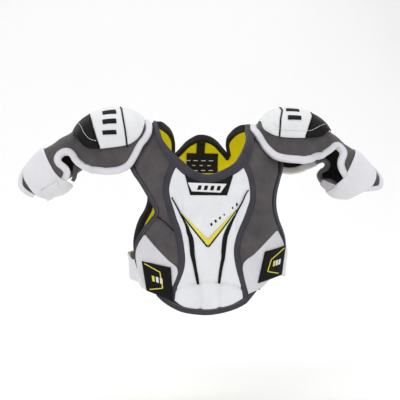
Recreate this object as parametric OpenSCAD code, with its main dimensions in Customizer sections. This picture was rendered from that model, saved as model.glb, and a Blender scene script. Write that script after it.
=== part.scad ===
// Youth hockey shoulder pads: a chest bib, a back bib, two shoulder yokes, two shoulder caps
// and two arm guards. +X is the wearer's left, +Y is the wearer's back and +Z is up.
// The origin is the middle of the neck opening, level with the top of the shoulders.

/* [Torso] */
// Half the width of the body that the bibs wrap
body_half_w = 118; // [110:1:126]
// Depth of the body in front of the shoulder line
front_depth = 76; // [70:1:80]
// Depth of the body behind the shoulder line
back_depth = 66; // [60:1:72]
// Height where the upright chest starts to lean back to the shoulders
chest_top_z = -75; // [-80:1:-70]
// Thickness of a lining
liner_t = 1.2; // [0.8:0.1:1.4]
// Outer face of the foam and plate layer above the body
foam_d = 9; // [8:0.5:10]
// Outer face of the grey covers above the body
cover_d = 11; // [10.5:0.5:12]
// Width of the binding tape
binding_w = 9; // [7:1:10]

/* [Shoulder caps] */
// Distance of the cap's crown from the middle
cap_u = 125; // [122:1:128]
// Height of the cap's widest level
cap_z = -24; // [-26:1:-22]
// Radius of the cap over the shoulder
cap_r = 55; // [54:1:57]
// How far the front of each cap is rolled up, wearer's right then left
cap_roll = [0, 15]; // [0:1:20]

/* [Arm guards] */
// Droop of each arm guard, wearer's right then left
arm_droop = [31, 36]; // [25:1:40]
// How far the front of each arm guard is rolled up, wearer's right then left
arm_roll = [0, 18]; // [0:1:30]
// Outer radius of the arm guard's pad
guard_r = 31; // [30:1:33]
// Length of the arm guard past its front notch
guard_len = 80; // [75:1:84]
// Width of the elastic band round the arm
arm_elastic_w = 52; // [40:1:54]

/* [Side straps] */
// Height of the side elastic
strap_h = 42; // [36:1:46]
// Thickness of elastic and webbing
web_t = 1.8; // [1.4:0.1:2]
// Inner edge of each fastened hook tab, from the middle line
tab_in = [47, 79]; // [46:1:80]
// Outer edge of each fastened hook tab, from the middle line
tab_out = [84, 110]; // [82:1:112]

/* [Hidden] */
$fn = 96;
gap = 0.7; // clearance between neighbouring layers
edge_w = 5.5; // width of the binding along an armhole or a side of the back
arc_w = 125; // length of the arc from the upright chest to the shoulder ridge
ridge_w = chest_top_z + arc_w;
ridge_z = -1; // height of the ridge beside the neck
ridge_tilt = 0.035; // the wearer's left shoulder lies a little lower
shoulder_thin = 0.45; // share of the thickness lost from the chest to the ridge
yoke_d = 7.5; // outer face of a shoulder yoke
yoke_out = 90; // outer edge of a shoulder yoke
cap_bulge = 9; // how much deeper than high the cap is
dome_p = 3.5; // bluntness of the cap in plan
cap_in = 58; // half length of the cap towards the neck
cap_out = 71; // half length of the cap towards the arm
wall_rate = 0.9; // millimetres of skirt wall for each degree past the widest level
guard_liner_r = 25.5; // inner radius of the arm guard
hinge_u = 207; // bridge between cap and arm guard
hinge_z = -24;
arm_start = [hinge_u - 12.5, hinge_z - 21.5]; // inner end of each arm guard's axis

// ---- Outlines of the bibs, as [x, height along the cloth] points, drawn from the bottom up ----
// The first side is the wearer's right (x below 0); the second is the wearer's left.
// Outer edge of the binding round each armhole
armhole = [
  [[-66, -238], [-80, -222], [-91, -205], [-95, -187], [-94, -168], [-86, -150], [-75, -133],
   [-69, -122], [-76, -105], [-87, -84], [-97, -66], [-102, -46], [-102, -20], [-101, 8], [-98, 36]],
  [[73, -236], [91, -219], [106, -203], [113, -186], [113, -168], [109, -152], [103, -137],
   [99, -122], [98, -107], [100, -92], [104, -77], [108, -58], [109, -36], [107, -8], [103, 14], [98, 36]]];
// Middle of the tape down each side of the sternum panel
sternum_edge = [
  [[-47, -242], [-45, -232], [-40, -219], [-35, -205], [-33, -191], [-34, -176], [-36, -162],
   [-39, -148], [-44, -133], [-48, -119], [-52, -105], [-54, -91], [-52, -77], [-48, -64], [-43, -54]],
  [[54, -238], [52, -231], [49, -220], [45, -206], [42, -191], [41, -177], [43, -163], [48, -148],
   [54, -134], [59, -120], [63, -106], [63, -91], [61, -77], [58, -65], [54, -56]]];
// Outer edge of the neck binding, from the wearer's right shoulder round to the left
neck_curve = [[-71, 36], [-70, 18], [-67, -1], [-63, -19], [-56, -34], [-48, -46], [-38, -57],
  [-29, -66], [-20, -72], [-10, -76], [0, -78], [11, -77], [20, -74], [30, -69], [40, -63],
  [49, -55], [56, -43], [62, -28], [67, -9], [70, 14], [71, 36]];
// Lower edge of the front panels, where the hem binding starts
hem_curve = [[-62, -236], [-54, -244], [-44, -251], [-31, -257], [-15, -260], [2, -261], [18, -259],
  [34, -255], [46, -250], [57, -243], [68, -235]];
// Outer edge of the binding at each side of the back, and of the back's neck edge
back_side = [
  [[-78, -236], [-90, -210], [-94, -184], [-93, -163], [-87, -141], [-78, -124], [-74, -108],
   [-77, -88], [-84, -62], [-90, -36]],
  [[78, -236], [90, -210], [94, -184], [93, -163], [87, -141], [78, -124], [74, -108],
   [77, -88], [84, -62], [90, -36]]];
back_hem = [[-78, -236], [-56, -250], [-20, -259], [20, -259], [56, -250], [78, -236]];
back_arch = [[-34, -34], [-27, -26], [-19, -14], [-10, -5], [-2, 1], [7, 2], [17, -1], [27, -9],
  [36, -21], [44, -32]];
// Inner edge of each yoke, from the front over the ridge to the back
yoke_edge = [
  [[-71, 37], [-61, 50], [-53, 69], [-43, 89], [-37, 110], [-36, 133]],
  [[71, 37], [64, 50], [56, 69], [48, 89], [42, 110], [46, 133]]];

// ---- Curves ----
function last(v) = v[len(v) - 1];
// A smooth curve through the points p at t from 0 to 1
function bend(a, b, c, d, f) =
  0.5 * (2 * b + (c - a) * f + (2 * a - 5 * b + 4 * c - d) * f * f
  + (3 * b - a - 3 * c + d) * f * f * f);
function along(p, t) =
  let (m = len(p) - 1, i = min(floor(t * m), m - 1))
  bend(p[max(i - 1, 0)], p[i], p[i + 1], p[min(i + 2, m)], t * m - i);
// The curve p moved sideways by h, to its left
function beside(p, h, n) = [for (i = [0:n])
  let (a = along(p, max(i - 0.5, 0) / n), b = along(p, min(i + 0.5, n) / n), v = (b - a) / norm(b - a))
  along(p, i / n) + h * [-v[1], v[0]]];
// A point inside four edges: left and right run up, bottom and top run across
function inside(l, r, b, t, s, u) =
  (1 - s) * along(l, u) + s * along(r, u) + (1 - u) * along(b, s) + u * along(t, s)
  - (1 - s) * (1 - u) * l[0] - s * (1 - u) * r[0] - (1 - s) * u * last(l) - s * u * last(r);
function patch_grid(l, r, b, t, nc, nr) =
  [for (j = [0:nr]) [for (i = [0:nc]) inside(l, r, b, t, i / nc, j / nr)]];
function ribbon_grid(a, b) = [for (i = [0:len(a) - 1]) [a[i], b[i]]];
function bridge(a, b) = [a, (a + b) / 2, b];

// ---- The body that the bibs wrap ----
function shoulder_z(x) = ridge_z - ridge_tilt * x - 0.0068 * pow(max(0, abs(x) - 55), 2);
// Cloth runs up the front to the ridge, and past the ridge it runs down the back
function body_point(x, w, d) =
  let (face = w > ridge_w ? -1 : 1,
       v = w > ridge_w ? 2 * ridge_w - w : w,
       b = face > 0 ? front_depth : back_depth,
       k = x / body_half_w,
       h = shoulder_z(x) - chest_top_z,
       f = max(0, (v - chest_top_z) / arc_w) * 90,
       y = -face * b * sqrt(max(0, 1 - k * k)) * cos(f),
       z = v < chest_top_z ? v : chest_top_z + h * sin(f),
       n = [k / body_half_w * pow(cos(f), 2), y / (b * b), sin(f) / h * (1 - k * k)],
       thin = v < chest_top_z ? 1 : 1 - shoulder_thin * f / 90)
  [x, y, z] + n / norm(n) * d * thin;
function back_w(v) = [for (p = v) [p[0], 2 * ridge_w - p[1]]];

// ---- The shoulder cap's dome: u runs out along the arm, a is the angle from the top ----
function dome_point(a, u, d) =
  let (k = min(0.99, abs(u - cap_u) / (u < cap_u ? cap_in : cap_out)),
       ry = (cap_r + cap_bulge) * pow(1 - pow(k, dome_p), 1 / dome_p) + d,
       rz = cap_r * sqrt(1 - k * k) + d,
       f = min(abs(a), 90),
       drop = max(0, abs(a) - 90) * wall_rate)
  [u, -sign(a) * ry * sin(f), cap_z + rz * cos(f) - drop];

// ---- Closed sheets between an inner and an outer grid of points ----
module sheet(low, high) {
  m = len(low) - 1;
  n = len(low[0]) - 1;
  count = (m + 1) * (n + 1);
  pts = concat([for (r = low) each r], [for (r = high) each r]);
  function at(j, i, k) = k * count + j * (n + 1) + i;
  function quad(a, b, c, d) = [[a, b, c], [a, c, d]];
  faces = concat(
    [for (j = [0:m - 1], i = [0:n - 1])
      each quad(at(j, i, 0), at(j, i + 1, 0), at(j + 1, i + 1, 0), at(j + 1, i, 0))],
    [for (j = [0:m - 1], i = [0:n - 1])
      each quad(at(j + 1, i, 1), at(j + 1, i + 1, 1), at(j, i + 1, 1), at(j, i, 1))],
    [for (i = [0:n - 1]) each quad(at(0, i, 1), at(0, i + 1, 1), at(0, i + 1, 0), at(0, i, 0))],
    [for (i = [0:n - 1]) each quad(at(m, i, 0), at(m, i + 1, 0), at(m, i + 1, 1), at(m, i, 1))],
    [for (j = [0:m - 1]) each quad(at(j, 0, 0), at(j + 1, 0, 0), at(j + 1, 0, 1), at(j, 0, 1))],
    [for (j = [0:m - 1]) each quad(at(j, n, 1), at(j + 1, n, 1), at(j + 1, n, 0), at(j, n, 0))]);
  polyhedron(pts, faces, convexity = 6);
}
module on_body(grid, d0, d1)
  sheet([for (r = grid) [for (p = r) body_point(p[0], p[1], d0)]],
        [for (r = grid) [for (p = r) body_point(p[0], p[1], d1)]]);
module on_dome(grid, d0, d1)
  sheet([for (r = grid) [for (p = r) dome_point(p[0], p[1], d0)]],
        [for (r = grid) [for (p = r) dome_point(p[0], p[1], d1)]]);
// Tape of one width along an edge of a bib
module tape(edge, h0, h1, n, d0, d1)
  on_body(ribbon_grid(beside(edge, h0, n), beside(edge, h1, n)), d0, d1);

// ---- Chest: side 0 is the wearer's right, side 1 the wearer's left ----
function out(side) = side == 0 ? -1 : 1;
seam_w = 6; // half the width of the tape beside the sternum panel
module chest_layer(side, d0, d1) {
  outer = beside(armhole[side], out(side) * (edge_w + gap), 30);
  neck = side == 0 ? [for (i = [4:-1:0]) neck_curve[i]] : [for (i = [16:20]) neck_curve[i]];
  inner = concat([for (p = beside(sternum_edge[side], out(side) * -(seam_w + gap), 26)) p],
                 [for (p = neck) p + [out(side) * gap, 0]]);
  foot = side == 0 ? outer[0] : inner[0];
  heel = side == 0 ? inner[0] : outer[0];
  l = side == 0 ? outer : inner;
  r = side == 0 ? inner : outer;
  on_body(patch_grid(l, r, bridge(foot, heel), bridge(last(l), last(r)), 5, 20), d0, d1);
}
module sternum_layer(d0, d1, nc = 6, nr = 14) {
  left = beside(sternum_edge[0], -(seam_w + gap), 26);
  right = beside(sternum_edge[1], seam_w + gap, 26);
  l = concat([for (i = [0:24]) left[i]], [[-38, -60]]);
  r = concat([for (i = [0:24]) right[i]], [[46, -61]]);
  bottom = concat([l[0]], [for (i = [3:7]) hem_curve[i]], [r[0]]);
  top = concat([last(l)], [for (i = [7:13]) neck_curve[i] - [0, 2 * gap]], [last(r)]);
  on_body(patch_grid(l, r, bottom, top, nc, nr), d0, d1);
}
module chest_patch_shape(w, h, drop, d0, d1) {
  l = [[-w * 0.33 + 2, -99 + drop], [-w * 0.5 + 2, -99 + drop + h]];
  r = [[w * 0.33 + 2, -99 + drop], [w * 0.5 + 2, -99 + drop + h]];
  on_body(patch_grid(l, r, bridge(l[0], r[0]), bridge(l[1], r[1]), 4, 2), d0, d1);
}
module loop_panel(side, d0, d1) {
  s = out(side);
  x = side == 0 ? 0 : 11;
  l = [[s * (58 + x), -232], [s * (42 + x), -205]];
  r = [[s * (86 + x), -205], [s * (80 + x), -162]];
  lo = side == 0 ? r : l;
  hi = side == 0 ? l : r;
  on_body(patch_grid(lo, hi, bridge(lo[0], hi[0]), bridge(lo[1], hi[1]), 3, 5), d0, d1);
}

module left_chest_cover() color("dimgray") chest_layer(1, foam_d + gap, cover_d);
module right_chest_cover() color("dimgray") chest_layer(0, foam_d + gap, cover_d);
module left_chest_foam() color("lightgray") chest_layer(1, liner_t + gap, foam_d);
module right_chest_foam() color("lightgray") chest_layer(0, liner_t + gap, foam_d);
module left_chest_liner() color("gold") chest_layer(1, 0, liner_t);
module right_chest_liner() color("gold") chest_layer(0, 0, liner_t);
module sternum_panel() color("white") sternum_layer(foam_d + gap, cover_d + 1.5);
module sternum_plate() color("lightgray") sternum_layer(liner_t + gap, foam_d);
module sternum_liner() color("gold") sternum_layer(0, liner_t);
module left_sternum_binding() color("dimgray")
  tape(sternum_edge[1], -seam_w, seam_w, 26, 0, cover_d + 0.5);
module right_sternum_binding() color("dimgray")
  tape(sternum_edge[0], -seam_w, seam_w, 26, 0, cover_d + 0.5);
module chest_patch() color("black") chest_patch_shape(62, 21, 2, cover_d + 2, cover_d + 3);
module chest_badge() color("whitesmoke") chest_patch_shape(42, 13, 5, cover_d + 3.5, cover_d + 4.5);
module neck_binding() color("dimgray")
  tape(neck_curve, gap, binding_w, 40, 0, cover_d + 0.5);
module front_hem_binding() color("dimgray")
  tape(hem_curve, -binding_w, -gap, 24, 0, cover_d + 0.5);
module left_armhole_binding() color("dimgray")
  tape(armhole[1], 0, edge_w, 30, 0, cover_d + 0.5);
module right_armhole_binding() color("dimgray")
  tape(armhole[0], -edge_w, 0, 30, 0, cover_d + 0.5);
module left_loop_panel() color("white") loop_panel(1, cover_d + 0.8, cover_d + 1.7);
module right_loop_panel() color("white") loop_panel(0, cover_d + 0.8, cover_d + 1.7);

// ---- Back bib ----
module back_layer(d0, d1) {
  l = beside(back_side[1], edge_w + gap, 20);
  r = beside(back_side[0], -(edge_w + gap), 20);
  b = concat([l[0]], [for (i = [4:-1:1]) back_hem[i] + [0, 1]], [r[0]]);
  t = [last(l), [66, -39], [48, -42], [38, -38], [29, -27], [21, -15], [12, -9], [3, -8],
       [-5, -13], [-13, -21], [-21, -32], [-28, -40], [-44, -42], [-66, -39], last(r)];
  on_body(patch_grid(back_w(l), back_w(r), back_w(b), back_w(t), 28, 11), d0, d1);
}
module back_cover() color("dimgray") back_layer(foam_d + gap, cover_d);
module back_foam() color("lightgray") back_layer(liner_t + gap, foam_d);
module back_liner() color("gold") back_layer(0, liner_t);
module spine_pad() color("white") {
  l = [[26, -210], [38, -150], [40, -90], [30, -50]];
  r = [for (p = l) [-p[0], p[1]]];
  on_body(patch_grid(back_w(l), back_w(r), back_w(bridge(l[0], r[0])), back_w(bridge(last(l), last(r))),
    4, 8), cover_d + 0.6, cover_d + 5);
}
module back_neck_binding() color("dimgray")
  tape(back_w(back_arch), 0, binding_w - 2.5, 24, 0, cover_d + 0.5);
module back_hem_binding() color("dimgray") tape(back_w(back_hem), 0, edge_w, 18, 0, cover_d + 0.5);
module left_back_binding() color("dimgray")
  tape(back_w(back_side[1]), -edge_w, 0, 20, 0, cover_d + 0.5);
module right_back_binding() color("dimgray")
  tape(back_w(back_side[0]), 0, edge_w, 20, 0, cover_d + 0.5);
module inner_label() color("black") {
  l = [[30, -72], [30, -34]];
  r = [[-19, -72], [-19, -34]];
  on_body(patch_grid(back_w(l), back_w(r), back_w(bridge(l[0], r[0])), back_w(bridge(l[1], r[1])),
    4, 4), -2.4, -1.4);
}
module label_tape() color("black") {
  l = [[13, -33], [13, -10]];
  r = [[-2, -33], [-2, -10]];
  on_body(patch_grid(back_w(l), back_w(r), back_w(bridge(l[0], r[0])), back_w(bridge(l[1], r[1])),
    2, 4), -2.4, -1.4);
}

// ---- Shoulder yokes: pads over the ridge from the chest to the back ----
module yoke(side, d0, d1) {
  outer = [for (p = yoke_edge[side]) [out(side) * yoke_out, p[1]]];
  l = side == 0 ? outer : yoke_edge[1];
  r = side == 0 ? yoke_edge[0] : outer;
  on_body(patch_grid(l, r, bridge(l[0], r[0]), bridge(last(l), last(r)), 4, 12), d0, d1);
}
module left_yoke() color("dimgray") yoke(1, liner_t + gap, yoke_d);
module right_yoke() color("dimgray") yoke(0, liner_t + gap, yoke_d);
module left_yoke_liner() color("gold") yoke(1, 0, liner_t);
module right_yoke_liner() color("gold") yoke(0, 0, liner_t);

// ---- Side straps ----
// Plan of each elastic from the hook tab round the side to its anchor on the back
elastic_path = [
  [[-97, -67], [-108, -47], [-114, -16], [-115, 12], [-113, 32], [-107, 46], [-97.5, 57.5]],
  [[126, -27], [128, -8], [126, 12], [119, 32], [110, 46], [97.5, 57.5]]];
strap_top = [[-194, -188], [-176, -186]]; // height of the elastic's top at the tab and at the anchor
module side_elastic(side) {
  a = beside(elastic_path[side], -web_t / 2, 12);
  b = beside(elastic_path[side], web_t / 2, 12);
  z = strap_top[side];
  function height(i, k) = z[0] + (z[1] - z[0]) * i / 12 - k * strap_h;
  low = [for (i = [0:12]) [for (k = [0:1]) [a[i][0], a[i][1], height(i, k)]]];
  high = [for (i = [0:12]) [for (k = [0:1]) [b[i][0], b[i][1], height(i, k)]]];
  sheet(low, high);
}
tab_lean = [[2, 6], [9, 6]]; // how much nearer the middle the foot of each tab edge lies
module hook_tab(side) {
  s = out(side);
  z = side == 0 ? [[-249, -236], [-201, -193]] : [[-225, -216], [-181, -174]];
  inner = [[s * (tab_in[side] - tab_lean[side][0]), z[0][0]], [s * tab_in[side], z[1][0]]];
  outer = [[s * (tab_out[side] - tab_lean[side][1]), z[0][1]], [s * tab_out[side], z[1][1]]];
  l = side == 0 ? outer : inner;
  r = side == 0 ? inner : outer;
  on_body(patch_grid(l, r, bridge(l[0], r[0]), bridge(l[1], r[1]), 5, 3), cover_d + 2.2, cover_d + 4.4);
}
module strap_anchor(side) {
  a = [[90, -226], [90, -190]];
  b = [[74, -226], [74, -190]];
  l = side == 0 ? [for (p = b) [-p[0], p[1]]] : a;
  r = side == 0 ? [for (p = a) [-p[0], p[1]]] : b;
  on_body(patch_grid(back_w(l), back_w(r), back_w(bridge(l[0], r[0])), back_w(bridge(l[1], r[1])),
    2, 3), cover_d + 1, cover_d + 2);
}
module left_strap_anchor() color("tan") strap_anchor(1);
module right_strap_anchor() color("tan") strap_anchor(0);
module left_side_elastic() color("white") side_elastic(1);
module right_side_elastic() color("white") side_elastic(0);
module left_hook_tab() color("black") hook_tab(1);
module right_hook_tab() color("black") hook_tab(0);

// ---- Shoulder caps ----
module to_cap(side)
  mirror([side == 0 ? 1 : 0, 0, 0])
  translate([0, 0, cap_z]) rotate([-cap_roll[side], 0, 0]) translate([0, 0, -cap_z]) children();
// Each edge is [angle from the top, distance out], from the neck end to the arm end
cap_front = [[30, 84], [72, 92], [88, 104], [96, 120], [98, 140], [94, 158], [84, 174], [62, 188]];
skirt_front = [[30, 85], [66, 87], [96, 93], [121, 103], [136, 116], [140, 138], [134, 158], [118, 172],
  [92, 182], [62, 187]];
skirt_rear = 110; // lowest angle of the skirt behind
function rear(edge, keep) = [for (p = edge) [-min(p[0], keep), p[1]]];
module cap_shell(side) color("white") to_cap(side) {
  r = cap_front;
  l = rear(cap_front, 96);
  on_dome(patch_grid(l, r, bridge(l[0], r[0]), bridge(last(l), last(r)), 12, 10), -3.5, 0);
}
module cap_skirt(side) color("dimgray") to_cap(side) {
  r = skirt_front;
  l = rear(skirt_front, skirt_rear);
  on_dome(patch_grid(l, r, bridge(l[0], r[0]), bridge(last(l), last(r)), 14, 10), -12, -6);
}
module cap_binding(side) color("white") to_cap(side) {
  edge = [for (i = [0:18]) along(skirt_front, i / 18 * 0.85)];
  upper = [for (p = edge) p - [p[0] > 90 ? 8 : 9, 0]];
  on_dome(ribbon_grid(upper, edge), -5.6, -5.1);
}
module left_cap_shell() cap_shell(1);
module right_cap_shell() cap_shell(0);
module left_cap_skirt() cap_skirt(1);
module right_cap_skirt() cap_skirt(0);
module left_cap_binding() cap_binding(1);
module right_cap_binding() cap_binding(0);

// ---- Arm guards: tubes round the upper arm, hung from the cap by a fabric bridge ----
// The tube's own frame has X up, Y to the front and Z out along the arm
module to_arm(side)
  mirror([side == 0 ? 1 : 0, 0, 0])
  translate([arm_start[0], 0, arm_start[1]]) rotate([0, 90 + arm_droop[side], 0])
  rotate([0, 0, 180 - arm_roll[side]]) children();
// Part of a tube between two radii, two lengths and two angles from the top
module tube_part(r0, r1, z0, z1, a0, a1)
  rotate([0, 0, a0]) rotate_extrude(angle = a1 - a0) translate([r0, z0]) square([r1 - r0, z1 - z0]);
// Room cut out of a tube between two lengths and two angles
module wedge(z0, z1, a0, a1)
  translate([0, 0, z0]) linear_extrude(z1 - z0)
  polygon(concat([[0, 0]], [for (i = [0:4]) let (a = a0 + (a1 - a0) * i / 4) 60 * [cos(a), sin(a)]]));
// A guard layer: open along the underside, and cut short at the front for the notch
module guard_layer(r0, r1) {
  end = guard_len - 3;
  difference() {
    translate([0, 0, -6]) cylinder(h = end + 6, r = r1);
    translate([0, 0, -7]) cylinder(h = end + 8, r = r0);
    wedge(-8, end + 1, 126, 230);
    wedge(-8, 18, 44, 127);
    wedge(-8, 18, 229, 242);
  }
}
module guard_pad(side) color("dimgray") to_arm(side) guard_layer(guard_liner_r + 1.5, guard_r);
module guard_liner(side) color("black") to_arm(side) guard_layer(guard_liner_r, guard_liner_r + 1.2);
module arm_elastic(side) color("white") to_arm(side)
  translate([0, 0, guard_len - arm_elastic_w]) difference() {
    cylinder(h = arm_elastic_w, r = guard_r + gap + web_t);
    translate([0, 0, -1]) cylinder(h = arm_elastic_w + 2, r = guard_r + gap);
  }
module cuff_binding(side) color("whitesmoke") to_arm(side)
  tube_part(guard_liner_r, guard_r, guard_len - 2.7, guard_len, -130, 126);
module arm_tab(side) color("lavender") to_arm(side)
  tube_part(guard_r + web_t + 2 * gap, guard_r + 2 * web_t + 2 * gap, 26, 52, 104, 160);
module arm_bridge(side) color("dimgray")
  mirror([side == 0 ? 1 : 0, 0, 0])
  translate([188.4, -22, -13.6]) rotate([0, 22, 0]) cube([11, 44, 3]);
module left_guard_pad() guard_pad(1);
module right_guard_pad() guard_pad(0);
module left_guard_liner() guard_liner(1);
module right_guard_liner() guard_liner(0);
module left_arm_elastic() arm_elastic(1);
module right_arm_elastic() arm_elastic(0);
module left_cuff_binding() cuff_binding(1);
module right_cuff_binding() cuff_binding(0);
module left_arm_tab() arm_tab(1);
module right_arm_tab() arm_tab(0);
module left_arm_bridge() arm_bridge(1);
module right_arm_bridge() arm_bridge(0);

left_chest_cover();
right_chest_cover();
left_chest_foam();
right_chest_foam();
left_chest_liner();
right_chest_liner();
sternum_panel();
sternum_plate();
sternum_liner();
left_sternum_binding();
right_sternum_binding();
chest_patch();
chest_badge();
neck_binding();
front_hem_binding();
left_armhole_binding();
right_armhole_binding();
left_loop_panel();
right_loop_panel();
back_cover();
back_foam();
back_liner();
spine_pad();
back_neck_binding();
back_hem_binding();
left_back_binding();
right_back_binding();
inner_label();
label_tape();
left_yoke();
right_yoke();
left_yoke_liner();
right_yoke_liner();
left_strap_anchor();
right_strap_anchor();
left_side_elastic();
right_side_elastic();
left_hook_tab();
right_hook_tab();
left_cap_shell();
right_cap_shell();
left_cap_skirt();
right_cap_skirt();
left_cap_binding();
right_cap_binding();
left_arm_bridge();
right_arm_bridge();
left_guard_pad();
right_guard_pad();
left_guard_liner();
right_guard_liner();
left_arm_elastic();
right_arm_elastic();
left_cuff_binding();
right_cuff_binding();
left_arm_tab();
right_arm_tab();
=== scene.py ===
"""Youth hockey shoulder pads: the cloth, tape, padding and prints built round the CAD frame."""

import math

import bpy
import numpy as np
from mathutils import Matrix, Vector, noise


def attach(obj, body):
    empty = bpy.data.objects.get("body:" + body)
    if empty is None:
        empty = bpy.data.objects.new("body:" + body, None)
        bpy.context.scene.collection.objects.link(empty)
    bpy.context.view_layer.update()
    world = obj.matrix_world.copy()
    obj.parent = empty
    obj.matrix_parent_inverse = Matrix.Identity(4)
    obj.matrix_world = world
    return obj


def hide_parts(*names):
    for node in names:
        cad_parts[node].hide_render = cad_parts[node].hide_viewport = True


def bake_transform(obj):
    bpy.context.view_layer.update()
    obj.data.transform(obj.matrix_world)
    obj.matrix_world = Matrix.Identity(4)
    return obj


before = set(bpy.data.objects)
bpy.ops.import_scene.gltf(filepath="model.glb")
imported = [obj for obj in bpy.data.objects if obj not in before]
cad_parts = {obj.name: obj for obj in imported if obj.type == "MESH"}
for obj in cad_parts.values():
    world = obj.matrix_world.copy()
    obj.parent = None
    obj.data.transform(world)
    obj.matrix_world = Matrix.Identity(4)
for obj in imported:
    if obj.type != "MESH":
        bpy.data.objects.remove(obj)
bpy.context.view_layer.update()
MM = 0.001

# ---- Sizes, in millimetres, that the frame shares with these pieces ----
BODY_HALF_W = 118.0
FRONT_DEPTH = 76.0
BACK_DEPTH = 66.0
CHEST_TOP_Z = -75.0
ARC_W = 125.0
RIDGE_W = CHEST_TOP_Z + ARC_W
RIDGE_Z, RIDGE_TILT = -3.5, 0.035
RIDGE_FALL, FALL_FROM = 0.0068, 55.0  # how the ridge curves down towards the arm
SHOULDER_THIN = 0.60  # share of the thickness that is lost from the chest to the ridge
COVER_D = 11.0
LINING_D = 0.3  # inner face of the padded pieces
TAPE_IN, TAPE_OUT = -0.8, COVER_D + 1.2  # the two faces of a folded binding
CAP_U, CAP_Z, CAP_R = 125.0, -24.0, 55.0
CAP_IN, CAP_OUT, CAP_BULGE = (58.0, 50.0), 71.0, 9.0
CAP_ROLL = (0.0, 15.0)
DOME_P = 3.5
WALL_RATE = 0.9
ARM_DROOP = (31.0, 36.0)
ARM_ROLL = (0.0, 18.0)
ARM_TAPER, TAPER_FROM = (0.24, 0.12), 31.0  # how fast the arm's upper side closes in towards the cuff
HINGE_U, HINGE_Z = 207.0, -24.0
ARM_START = (HINGE_U - 12.5, HINGE_Z - 21.5)
GUARD_R = 31.0
GUARD_IN = 25.5
BAND_THICK = 2.2
SWELL_REACH = 30.0  # how far from its edge a crowned pad goes on rising
HANG_ANGLE, HANG_RATE = 100.0, 0.5  # beyond this angle the sleeve hangs straight until the band gathers it
GATHER_FROM, GATHER_SPAN = 196.0, 16.0
BEND_FROM, BEND_SPAN = 139.0, 47.0  # where the sleeve leaves the cap's surface for the arm's
SKIRT_IN = 10.8  # depth of the sleeve's lining below the cap's surface
SKIRT_FLAT_U, SKIRT_END_U, SKIRT_FALL = 86.0, 194.0, 0.45  # towards the neck the skirt runs on flat
SLEEVE_ZERO, SLEEVE_RATE = 192.0, 0.86  # distance out where the arm's axis starts, and per millimetre of it
SIDES = ("right", "left")  # the wearer's right is at -X
BOTH = ((0, "right", -1), (1, "left", 1))

# ---- Outlines of the bibs, as (x, height along the cloth), drawn from the bottom up ----
# Where there are two, side 0 is the wearer's right and side 1 the wearer's left.
# Outer edge of the armhole binding
ARMHOLE = (
    [(-66, -238), (-80, -222), (-91, -205), (-95, -187), (-94, -168), (-86, -150), (-75, -133), (-69, -122),
     (-76, -105), (-87, -84), (-97, -66), (-102, -46), (-102, -20), (-101, 8), (-98, 36)],
    [(73, -236), (91, -219), (106, -203), (113, -186), (113, -168), (109, -152), (103, -137), (99, -122),
     (98, -107), (100, -92), (104, -77), (108, -58), (109, -36), (107, -8), (103, 14), (98, 36)])
# Middle of the tape beside the sternum panel
STERNUM = (
    [(-47, -248), (-45, -232), (-40, -219), (-35, -205), (-33, -191), (-34, -176), (-36, -162), (-39, -148),
     (-44, -133), (-48, -119), (-52, -105), (-54, -91), (-52, -77), (-48, -64), (-43, -54)],
    [(54, -247), (52, -231), (49, -220), (45, -206), (42, -191), (41, -177), (43, -163), (48, -148),
     (54, -134), (59, -120), (63, -106), (63, -91), (61, -77), (58, -65), (53, -53)])
# Outer edge of the neck binding, from the wearer's right round to the left
NECK = [(-71, 36), (-70, 18), (-67, -1), (-63, -19), (-56, -34), (-48, -46), (-38, -57), (-29, -66),
        (-20, -72), (-10, -76), (0, -78), (11, -77), (20, -74), (30, -69), (40, -63), (49, -55), (56, -43),
        (62, -28), (67, -9), (70, 14), (71, 36)]
# Lower edge of the front panels, and the outer edges of the back
HEM = [(-62, -236), (-54, -244), (-44, -251), (-31, -257), (-15, -260), (2, -261), (18, -259), (34, -255),
       (46, -250), (57, -243), (68, -235)]
BACK_SIDE = [(78, -236), (90, -210), (94, -184), (93, -163), (87, -141), (78, -124), (74, -108),
             (77, -88), (84, -62), (90, -36)]
BACK_HEM = [(-78, -236), (-56, -250), (-20, -259), (20, -259), (56, -250), (78, -236)]
BACK_ARCH = [(-36, -37), (-27, -26), (-19, -14), (-10, -5), (-2, 1), (7, 2), (17, -1), (27, -9), (36, -21),
             (46, -35)]
# Neck edge of each yoke
YOKE_EDGE = (
    [(-71, 37), (-61, 50), (-53, 69), (-43, 89), (-37, 110), (-36, 137)],
    [(71, 37), (64, 50), (56, 69), (48, 89), (42, 110), (46, 137)])
# Outlines on the caps, as (degrees from the top, distance out), from the neck end to the arm end
CAP_EDGE = (
    [(40, 86), (60, 89), (74, 93), (85, 100), (93, 113), (98, 143), (99, 160), (97, 170), (90, 178),
     (76, 184), (60, 187)],
    [(56, 85), (79, 88), (91, 96), (97, 109), (99, 126), (99, 144), (98, 162), (95, 172), (87, 180),
     (66, 187)])


# ---- Curves and grids ----
def unit(v):
    """Vectors of length 1 along the last axis."""
    return v / np.linalg.norm(v, axis=-1)[..., None]


def run_of(points):
    """Distance along a row of points."""
    return np.r_[0, np.cumsum(np.linalg.norm(np.diff(points, axis=0), axis=1))]


def along(points, t):
    """Smooth curve through the points, at t from 0 to 1."""
    p = np.array(points, float)
    m = len(p) - 1
    t = np.clip(np.asarray(t, float), 0, 1) * m
    i = np.minimum(t.astype(int), m - 1)
    f = (t - i)[..., None]
    a, b, c, d = p[np.maximum(i - 1, 0)], p[i], p[i + 1], p[np.minimum(i + 2, m)]
    return 0.5 * (2 * b + (c - a) * f + (2 * a - 5 * b + 4 * c - d) * f ** 2
                  + (3 * b - a - 3 * c + d) * f ** 3)


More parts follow.
